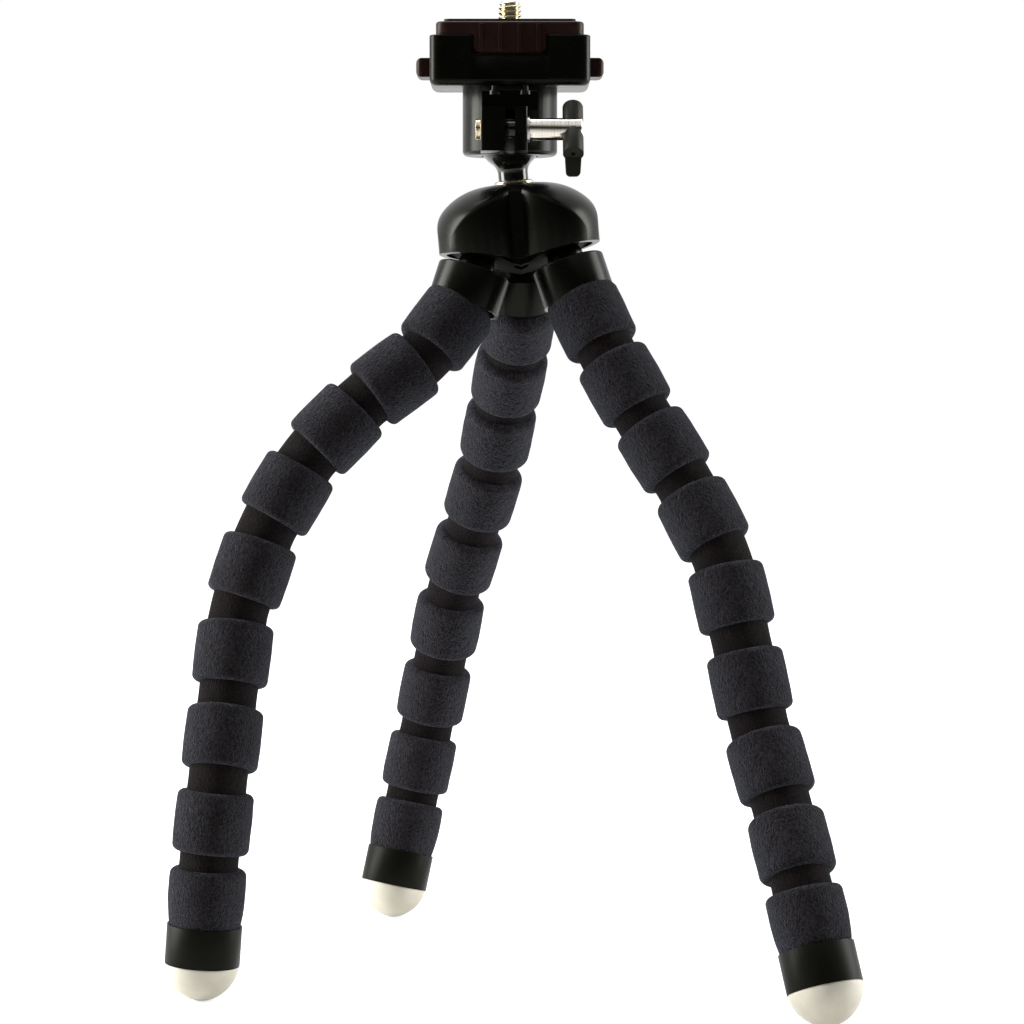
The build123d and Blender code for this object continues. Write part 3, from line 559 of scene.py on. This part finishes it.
print("softened", len(EDGE_WIDTHS))

# %% [markdown]
# ## Finishes
#
# Every finish is made of nodes. A helper starts a material with its main shader, and others
# add a colour that varies over the surface and a fine relief. Values that are the same all
# over are set on the shader itself.

# %% Helpers for finishes
def new_finish(name, roughness, metallic=0.0, specular=0.5):
    """A material with its main shader, ready for colour and relief."""
    material = bpy.data.materials.new(name)
    material.use_nodes = True
    shader = material.node_tree.nodes["Principled BSDF"]
    shader.inputs["Roughness"].default_value = roughness
    shader.inputs["Metallic"].default_value = metallic
    shader.inputs["Specular IOR Level"].default_value = specular
    return material, material.node_tree, shader


def noise_node(tree, scale, detail=3.0, rough=0.5, distortion=0.0, place=None):
    """Noise over the object's own space, or over a place that is handed in."""
    node = tree.nodes.new("ShaderNodeTexNoise")
    node.inputs["Scale"].default_value = scale
    node.inputs["Detail"].default_value = detail
    node.inputs["Roughness"].default_value = rough
    node.inputs["Distortion"].default_value = distortion
    if place is None:
        place = tree.nodes.new("ShaderNodeTexCoord").outputs["Object"]
    tree.links.new(place, node.inputs["Vector"])
    return node


def ramp(tree, factor, stops):
    """A colour ramp through (position, colour) stops."""
    node = tree.nodes.new("ShaderNodeValToRGB")
    elements = node.color_ramp.elements
    for k, (position, colour) in enumerate(stops):
        stop = elements[k] if k < 2 else elements.new(position)
        stop.position = position
        stop.color = (*colour, 1)
    tree.links.new(factor, node.inputs["Fac"])
    return node.outputs["Color"]


def drifting_colour(tree, shader, height, dark, light):
    """A base colour that drifts between two shades with a noise."""
    colour = ramp(tree, height, [(0.3, dark), (0.7, light)])
    tree.links.new(colour, shader.inputs["Base Color"])


def multiplied(tree, colour, shade, share):
    """A colour that is darkened by a shade, by a share of its whole."""
    mix = tree.nodes.new("ShaderNodeMix")
    mix.data_type = "RGBA"
    mix.blend_type = "MULTIPLY"
    mix.inputs["Factor"].default_value = share
    tree.links.new(colour, mix.inputs["A"])
    tree.links.new(shade, mix.inputs["B"])
    return mix.outputs["Result"]


def maths(tree, operation, first, second=0.0):
    """A Math node on a linked value, and on another one or a plain number."""
    node = tree.nodes.new("ShaderNodeMath")
    node.operation = operation
    tree.links.new(first, node.inputs[0])
    if isinstance(second, bpy.types.NodeSocket):
        tree.links.new(second, node.inputs[1])
    else:
        node.inputs[1].default_value = second
    return node.outputs["Value"]


def mapped(tree, value, source, result, smooth=False):
    """A value taken from one (low, high) range to another."""
    node = tree.nodes.new("ShaderNodeMapRange")
    if smooth:
        node.interpolation_type = "SMOOTHSTEP"
    node.inputs["From Min"].default_value = source[0]
    node.inputs["From Max"].default_value = source[1]
    node.inputs["To Min"].default_value = result[0]
    node.inputs["To Max"].default_value = result[1]
    tree.links.new(value, node.inputs["Value"])
    return node.outputs["Result"]


def relief(tree, shader, height, distance, strength=1.0):
    """Bump from a height, at a real depth."""
    node = tree.nodes.new("ShaderNodeBump")
    node.inputs["Distance"].default_value = distance
    node.inputs["Strength"].default_value = strength
    tree.links.new(height, node.inputs["Height"])
    tree.links.new(node.outputs["Normal"], shader.inputs["Normal"])


# %% [markdown]
# ### Foam
#
# Moulded foam has a skin of fine worm-like wrinkles that run along the leg. The noise is
# read in cylinder space, made from the UV map, so it follows each band and has no seam, and
# it is stretched along the axis. The valleys between the wrinkles are painted darker and
# warmer: the foam's own charcoal, with painted shade in the creases.

# %% A space that follows a turned piece
def cylinder_space(tree, radius, stretch):
    """Places in millimetres round and along a turned piece, from its UV map."""
    uv = tree.nodes.new("ShaderNodeUVMap")
    uv.uv_map = "turn"
    parts = tree.nodes.new("ShaderNodeSeparateXYZ")
    tree.links.new(uv.outputs["UV"], parts.inputs["Vector"])
    turn = maths(tree, "MULTIPLY", parts.outputs["X"], math.tau)
    joined = tree.nodes.new("ShaderNodeCombineXYZ")
    for wave, socket in (("COSINE", "X"), ("SINE", "Y")):
        size = maths(tree, "MULTIPLY", maths(tree, wave, turn), radius)
        tree.links.new(size, joined.inputs[socket])
    along = maths(tree, "MULTIPLY", parts.outputs["Y"], stretch)
    tree.links.new(along, joined.inputs["Z"])
    return joined.outputs["Vector"]


# %% [markdown]
# The bands and the necks in the grooves share one finish. The necks are painted darker
# and warmer, as painted shade for the recess of the groove, and they have hardly any sheen.

# %% Foam finish
WRINKLE_STRETCH = 0.68
WRINKLE_SCALE = 1.45
PORE_SCALE = 5.0
PORE_SHARE = 0.3
PATCH_SCALE = 0.25
PATCH_SHARE = 0.6
PATCH_TONES = [(0.3, (0.72, 0.70, 0.70)), (0.7, (1.0, 1.0, 1.0))]
WRINKLE_STOPS = (0.36, 0.50, 0.64)
WRINKLE_DEPTH = 1.5 * MM
SHEEN_TINT = (0.42, 0.50, 0.62, 1)


def foam_finish(name, shades, sheen):
    """Wrinkled foam skin, from its three shades and the strength of its sheen."""
    material, tree, shader = new_finish(name, roughness=0.88, specular=0.12)
    place = cylinder_space(tree, BAND_RADIUS / MM, WRINKLE_STRETCH)
    wrinkles = noise_node(tree, WRINKLE_SCALE, detail=2.0, rough=0.55, distortion=1.2, place=place)
    pores = noise_node(tree, PORE_SCALE, detail=1.5, place=place)
    patches = noise_node(tree, PATCH_SCALE, detail=2.0, place=place)
    colour = ramp(tree, wrinkles.outputs["Fac"], list(zip(WRINKLE_STOPS, shades)))
    tone = ramp(tree, patches.outputs["Fac"], PATCH_TONES)
    patched = multiplied(tree, colour, tone, PATCH_SHARE)
    tree.links.new(patched, shader.inputs["Base Color"])
    shader.inputs["Sheen Weight"].default_value = sheen
    shader.inputs["Sheen Roughness"].default_value = 0.35
    shader.inputs["Sheen Tint"].default_value = SHEEN_TINT
    fine = maths(tree, "MULTIPLY", pores.outputs["Fac"], PORE_SHARE)
    height = maths(tree, "ADD", fine, wrinkles.outputs["Fac"])
    relief(tree, shader, height, WRINKLE_DEPTH)
    return material


# Wrinkle tones from valley to ridge. The darkest, warmest stop is painted shade in the valleys;
# the lighter stops are the foam's own charcoal.
BAND_TONES_WITH_VALLEY_SHADE = (
    (0.0086, 0.0048, 0.0046),
    (0.0180, 0.0130, 0.0140),
    (0.0335, 0.0300, 0.0350),
)
# Painted shade: the foam in the grooves is darkened and warmed for the recess.
GROOVE_PAINTED_SHADE_TONES = (
    (0.0066, 0.0025, 0.0020),
    (0.0094, 0.0045, 0.0038),
    (0.0138, 0.0088, 0.0080),
)
BAND_SHEEN = 0.36
GROOVE_SHEEN = 0.08
foam = foam_finish("charcoal_foam", BAND_TONES_WITH_VALLEY_SHADE, BAND_SHEEN)
shaded_groove_foam = foam_finish("shaded_groove_foam", GROOVE_PAINTED_SHADE_TONES, GROOVE_SHEEN)
for piece in foam_pieces:
    piece.data.materials.append(shaded_groove_foam if piece.name.startswith("neck") else foam)
print("foam finish on", len(foam_pieces), "pieces")

# %% [markdown]
# ### Moulded plastics
#
# Satin black plastic is never quite black: it has a faint greenish cast, a fine orange-peel
# skin and a roughness that drifts a little. The caps at the feet are duller, and the plate
# and the buttons are a very dark maroon. The ball stud is polished. Each finish is one row:
# its dark and light shade, roughness, grain, depth of grain in millimetres, and gloss.

# %% Plastic finishes
PLASTIC_TINT = (0.97, 1.0, 0.84, 1)
DRIFT_SCALE = 90
DRIFT_LOW = 0.05
DRIFT_HIGH = 0.07
PLASTICS = {
    "satin_black": ((0.0014, 0.0016, 0.0009), (0.0026, 0.0029, 0.0018), 0.27, 1500, 0.010, 0.13),
    "cap_black": ((0.0022, 0.0024, 0.0013), (0.0040, 0.0043, 0.0027), 0.42, 1300, 0.015, 0.09),
    "knob_black": ((0.0080, 0.0088, 0.0058), (0.0125, 0.0134, 0.0095), 0.42, 1300, 0.012, 0.16),
    "inner_black": ((0.0012, 0.0013, 0.0009), (0.0022, 0.0023, 0.0017), 0.60, 1300, 0.015, 0.04),
    "maroon_black": ((0.0170, 0.0064, 0.0052), (0.0260, 0.0110, 0.0094), 0.34, 1500, 0.010, 0.13),
    "gloss_black": ((0.0030, 0.0032, 0.0034), (0.0050, 0.0052, 0.0055), 0.13, 900, 0.004, 0.6),
}


def plastic_finish(name, dark, light, roughness, grain, depth, gloss):
    """A moulded plastic whose colour and sheen drift a little."""
    material, tree, shader = new_finish(name, roughness, specular=gloss)
    shader.inputs["Specular Tint"].default_value = PLASTIC_TINT
    drift = noise_node(tree, DRIFT_SCALE, detail=2.0).outputs["Fac"]
    drifting_colour(tree, shader, drift, dark, light)
    spread = (roughness - DRIFT_LOW, roughness + DRIFT_HIGH)
    tree.links.new(mapped(tree, drift, (0, 1), spread), shader.inputs["Roughness"])
    skin = noise_node(tree, grain, detail=2.5)
    relief(tree, shader, skin.outputs["Fac"], depth * MM, 0.6)
    return material


plastics = {name: plastic_finish(name, *row) for name, row in PLASTICS.items()}
print("plastics", sorted(plastics))

# %% [markdown]
# ### Metals, rubber and acetal
#
# Turned metal shows rings round its axis: noise that is stretched to almost nothing along
# the rings gives them. The brass is turned too, and warmer in its low places. A metal's row
# gives its two shades, roughness, axis (0 for X, 2 for Z) and the rings' depth in
# millimetres.

# %% Metal finishes
RING_SCALE = 2600
RING_STRETCH = 0.02
METALS = {
    "polished_steel": ((0.58, 0.54, 0.46), (0.82, 0.77, 0.68), 0.15, 0, 0.003),
    "plain_steel": ((0.42, 0.42, 0.42), (0.58, 0.58, 0.57), 0.28, 2, 0.01),
    "dark_steel": ((0.030, 0.029, 0.027), (0.055, 0.053, 0.050), 0.35, 2, 0.01),
    "turned_brass": ((0.55, 0.46, 0.29), (0.78, 0.70, 0.50), 0.24, 2, 0.01),
    "nut_brass": ((0.55, 0.46, 0.29), (0.78, 0.70, 0.50), 0.26, 0, 0.01),
    "wire_aluminium": ((0.62, 0.63, 0.65), (0.78, 0.79, 0.80), 0.35, 2, 0.01),
}


def turned_metal(name, dark, light, roughness, axis, depth):
    """A turned metal. Its rings run square to an axis of the frame."""
    material, tree, shader = new_finish(name, roughness, metallic=1.0)
    scale = tree.nodes.new("ShaderNodeMapping")
    scale.inputs["Scale"].default_value = [1 if k == axis else RING_STRETCH for k in range(3)]
    place = tree.nodes.new("ShaderNodeTexCoord").outputs["Object"]
    tree.links.new(place, scale.inputs["Vector"])
    rings = noise_node(tree, RING_SCALE, detail=3.0, place=scale.outputs["Vector"])
    drifting_colour(tree, shader, rings.outputs["Fac"], dark, light)
    relief(tree, shader, rings.outputs["Fac"], depth * MM, 0.5)
    return material


metals = {name: turned_metal(name, *row) for name, row in METALS.items()}
print("metals", sorted(metals))

# %% [markdown]
# The clamp screw is one piece, with one polished finish. Its thread sits deep in the slot
# between the ears, so the metal is painted black before the place where the rod starts, as
# painted shade for the slot.

# %% Darken the clamp screw's thread
# Painted shade: the thread in the slot keeps only this share of the metal's colour.
SLOT_PAINTED_SHADE = 0.04
SLOT_SHADE_FADE = 0.3 * MM


def darken_end(material, axis, end):
    """Blackens a metal before a place along an axis."""
    tree = material.node_tree
    shader = tree.nodes["Principled BSDF"]
    place = tree.nodes.new("ShaderNodeTexCoord").outputs["Object"]
    parts = tree.nodes.new("ShaderNodeSeparateXYZ")
    tree.links.new(place, parts.inputs["Vector"])
    share = mapped(tree, parts.outputs[axis], (end - SLOT_SHADE_FADE, end), (SLOT_PAINTED_SHADE, 1))
    metal = shader.inputs["Base Color"].links[0].from_socket
    tree.links.new(multiplied(tree, metal, share, 1), shader.inputs["Base Color"])


rod_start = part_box("clamp_washer")[1].x
darken_end(metals["polished_steel"], 0, rod_start)
print("rod starts at", round(rod_start / MM, 2), "mm")

# %% [markdown]
# The feet are cream rubber, the pad on the plate is a dull black rubber, and the ball's
# liner is black acetal. A row gives the two shades, roughness, grain and the grain's depth in
# millimetres.

# %% Rubber and acetal finishes
RUBBER_DRIFT_SCALE = 140
RUBBERS = {
    "cream_rubber": ((0.69, 0.65, 0.52), (0.81, 0.77, 0.65), 0.42, 700, 0.02),
    "pad_rubber": ((0.010, 0.010, 0.010), (0.018, 0.018, 0.018), 0.75, 2200, 0.03),
    "black_acetal": ((0.010, 0.010, 0.009), (0.018, 0.018, 0.016), 0.40, 900, 0.01),
}


def rubber_finish(name, dark, light, roughness, grain, depth):
    """A rubber with a soft skin."""
    material, tree, shader = new_finish(name, roughness, specular=0.4)
    drift = noise_node(tree, RUBBER_DRIFT_SCALE, detail=3.0)
    drifting_colour(tree, shader, drift.outputs["Fac"], dark, light)
    skin = noise_node(tree, grain, detail=2.0)
    relief(tree, shader, skin.outputs["Fac"], depth * MM, 0.5)
    return material


rubbers = {name: rubber_finish(name, *row) for name, row in RUBBERS.items()}
print("rubbers", sorted(rubbers))

# %% Put the finishes on the pieces
FINISHES = {
    "satin_black": ["hub_shell", "socket_housing", "quick_release_tray"],
    "inner_black": ["hub_base"],
    "cap_black": [f"bottom_cap_{side}" for side in SIDES],
    "knob_black": ["t_knob"],
    "maroon_black": ["quick_release_plate", "release_button_left", "release_button_right"],
    "gloss_black": ["ball_stud"],
    "black_acetal": ["liner_cap", "liner_ring"],
    "pad_rubber": ["plate_pad"],
    "plain_steel": ["hub_screws", "lock_nut", "clamp_washer", "screw_ring"],
    "dark_steel": ["tray_screws"],
    "polished_steel": ["clamp_screw"],
    "turned_brass": ["stem_collar"],
    "nut_brass": ["clamp_nut"],
    "wire_aluminium": ["wire_anchors"],
}
FINISHES["satin_black"] += [f"top_cap_{side}" for side in SIDES]
finishes = {**plastics, **metals, **rubbers}
for finish, nodes in FINISHES.items():
    for node in nodes:
        slots = frame["nodes"][node].data.materials
        slots.clear()
        slots.append(finishes[finish])
for piece in foot_pieces:
    piece.data.materials.append(finishes["cream_rubber"])
for piece in springs:
    piece.data.materials.append(finishes["plain_steel"])
threaded_screw.data.materials.append(finishes["turned_brass"])
print("finished nodes", sum(len(nodes) for nodes in FINISHES.values()))

# %% [markdown]
# ## Floor and light
#
# The tripod stands on a plain pale floor that runs back to a white world. The camera and
# polished metal see the backdrop as white, and the object's soft shadow stays on the floor.
# The room behind the camera is dim, as a real studio's is, so black plastic stays black
# where it faces the camera. A broad lamp stands at each side, a little behind the tripod:
# they graze the round bands, so their edges are light and their fronts stay dark.

# %% Light for the camera and for mirrors
def seen_directly(tree):
    """One for camera, glossy and transmission rays, and zero for the others."""
    rays = tree.nodes.new("ShaderNodeLightPath").outputs
    mirrors = maths(tree, "MAXIMUM", rays["Is Camera Ray"], rays["Is Glossy Ray"])
    return maths(tree, "MAXIMUM", mirrors, rays["Is Transmission Ray"])


def camera_ray(tree):
    """One for rays that come straight from the camera."""
    return tree.nodes.new("ShaderNodeLightPath").outputs["Is Camera Ray"]


# %% [markdown]
# The floor has a faint glow of its own, so that it meets the white world with no edge. The
# glow is weakest round the tripod, where the shadow has to show. In a mirror it also fades
# towards the front, where the room is dim.

# %% Make the floor
FLOOR_REACH = 12.0
FLOOR_WHITE = (0.80, 0.80, 0.80, 1)
WHITE = (1, 1, 1, 1)
GLOW_DISTANCES = (0.15, 0.70)
GLOW_LEVELS = (0.62, 1.0)
FRONT_PLACES = (-0.45, 0.10)
FRONT_LEVELS = (0.06, 1.0)


def floor_glow(tree):
    """The strength of the floor's own light at a place, for the rays that see it."""
    ground = tree.nodes.new("ShaderNodeTexCoord").outputs["Object"]
    distance = tree.nodes.new("ShaderNodeVectorMath")
    distance.operation = "LENGTH"
    tree.links.new(ground, distance.inputs[0])
    fade = mapped(tree, distance.outputs["Value"], GLOW_DISTANCES, GLOW_LEVELS, smooth=True)
    parts = tree.nodes.new("ShaderNodeSeparateXYZ")
    tree.links.new(ground, parts.inputs["Vector"])
    front = mapped(tree, parts.outputs["Y"], FRONT_PLACES, FRONT_LEVELS, smooth=True)
    glow = maths(tree, "MULTIPLY", fade, maths(tree, "MAXIMUM", camera_ray(tree), front))
    return maths(tree, "MULTIPLY", seen_directly(tree), glow)


reach = FLOOR_REACH
corners = [(-reach, -reach, 0), (reach, -reach, 0), (reach, reach, 0), (-reach, reach, 0)]
floor_mesh = bpy.data.meshes.new("floor")
floor_mesh.from_pydata(corners, [], [(0, 1, 2, 3)])
floor = bpy.data.objects.new("floor", floor_mesh)
bpy.context.scene.collection.objects.link(floor)

floor_finish, floor_tree, floor_shader = new_finish("pale_floor", 0.9, specular=0.1)
floor_shader.inputs["Base Color"].default_value = FLOOR_WHITE
floor_shader.inputs["Emission Color"].default_value = WHITE
floor_tree.links.new(floor_glow(floor_tree), floor_shader.inputs["Emission Strength"])
floor.data.materials.append(floor_finish)
print("floor", floor.name, "reaches", FLOOR_REACH, "m")

# %% [markdown]
# The world is white to the camera. A mirror sees it white behind the tripod and overhead,
# and dim in front, and it lights everything else only faintly.

# %% Make the world
ROOM_LIGHT = 0.12
BACK_PLACES = (-0.25, 0.45)
BACK_LEVELS = (0.03, 1.0)
OVERHEAD_PLACES = (0.25, 0.85)
OVERHEAD_LEVELS = (0.0, 0.9)


def world_strength(tree):
    """The strength of the world's light in each direction, for each kind of ray."""
    heading = tree.nodes.new("ShaderNodeTexCoord").outputs["Generated"]
    parts = tree.nodes.new("ShaderNodeSeparateXYZ")
    tree.links.new(heading, parts.inputs["Vector"])
    backdrop = mapped(tree, parts.outputs["Y"], BACK_PLACES, BACK_LEVELS, smooth=True)
    overhead = mapped(tree, parts.outputs["Z"], OVERHEAD_PLACES, OVERHEAD_LEVELS, smooth=True)
    mirrored = tree.nodes.new("ShaderNodeMix")
    mirrored.inputs["A"].default_value = ROOM_LIGHT
    tree.links.new(seen_directly(tree), mirrored.inputs["Factor"])
    tree.links.new(maths(tree, "MAXIMUM", backdrop, overhead), mirrored.inputs["B"])
    return maths(tree, "MAXIMUM", camera_ray(tree), mirrored.outputs["Result"])


world = bpy.data.worlds.new("studio")
bpy.context.scene.world = world
world.use_nodes = True
sky = world.node_tree.nodes["Background"]
sky.inputs["Color"].default_value = WHITE
world.node_tree.links.new(world_strength(world.node_tree), sky.inputs["Strength"])
print("world", world.name)

# %% [markdown]
# The lamps face a place in the middle of the tripod, under the hub. The hub's middle lies
# down the pan joint's axis from the ball. A lamp's row gives its place in metres, width,
# height and power.

# %% Make the lamps
BALL_ABOVE_HUB = 34.3 * MM
AIM_HEIGHT = 0.14
LAMPS = {
    "left_softbox": ((-0.95, 0.02, 0.42), 0.5, 0.9, 18),
    "right_softbox": ((0.98, 0.18, 0.40), 0.45, 0.9, 11),
    "top_softbox": ((-0.15, 0.25, 1.15), 0.8, 0.5, 6),
}

hub_place = joint_place("pan") - Vector(joints["pan"]["axis"]) * BALL_ABOVE_HUB
aim = Vector((hub_place.x, hub_place.y, AIM_HEIGHT))


def softbox(name, place, width, height, power):
    """A broad lamp that faces the tripod."""
    lamp = bpy.data.lights.new(name, "AREA")
    lamp.shape = "RECTANGLE"
    lamp.size = width
    lamp.size_y = height
    lamp.energy = power
    holder = bpy.data.objects.new(name, lamp)
    holder.location = place
    holder.rotation_euler = (aim - holder.location).to_track_quat("-Z", "Y").to_euler()
    bpy.context.scene.collection.objects.link(holder)


for name, row in LAMPS.items():
    softbox(name, *row)
print("lamps", len(LAMPS), "aimed at", [round(v, 3) for v in aim])

# %% [markdown]
# ## Camera
#
# The photograph was taken from straight in front, almost level and from about ninety
# centimetres away with a long lens, so the legs are only slightly larger where they come
# forward.

# %% Place the camera
CAMERA_DISTANCE = 900 * MM
CAMERA_HEIGHT = 174.8 * MM
CAMERA_PITCH = 2.983
CAMERA_LENS = 114.42
CAMERA_ASIDE = -2.42 * MM
SENSOR_WIDTH = 36

camera = bpy.data.objects.new("camera", bpy.data.cameras.new("camera"))
bpy.context.scene.collection.objects.link(camera)
camera.data.sensor_width = SENSOR_WIDTH
camera.data.lens = CAMERA_LENS
camera.location = (hub_place.x + CAMERA_ASIDE, hub_place.y - CAMERA_DISTANCE, CAMERA_HEIGHT)
camera.rotation_euler = (math.radians(90 - CAMERA_PITCH), 0, 0)
bpy.context.scene.camera = camera
bpy.context.scene.view_settings.view_transform = "Standard"
print("camera at", [round(v, 3) for v in camera.location])
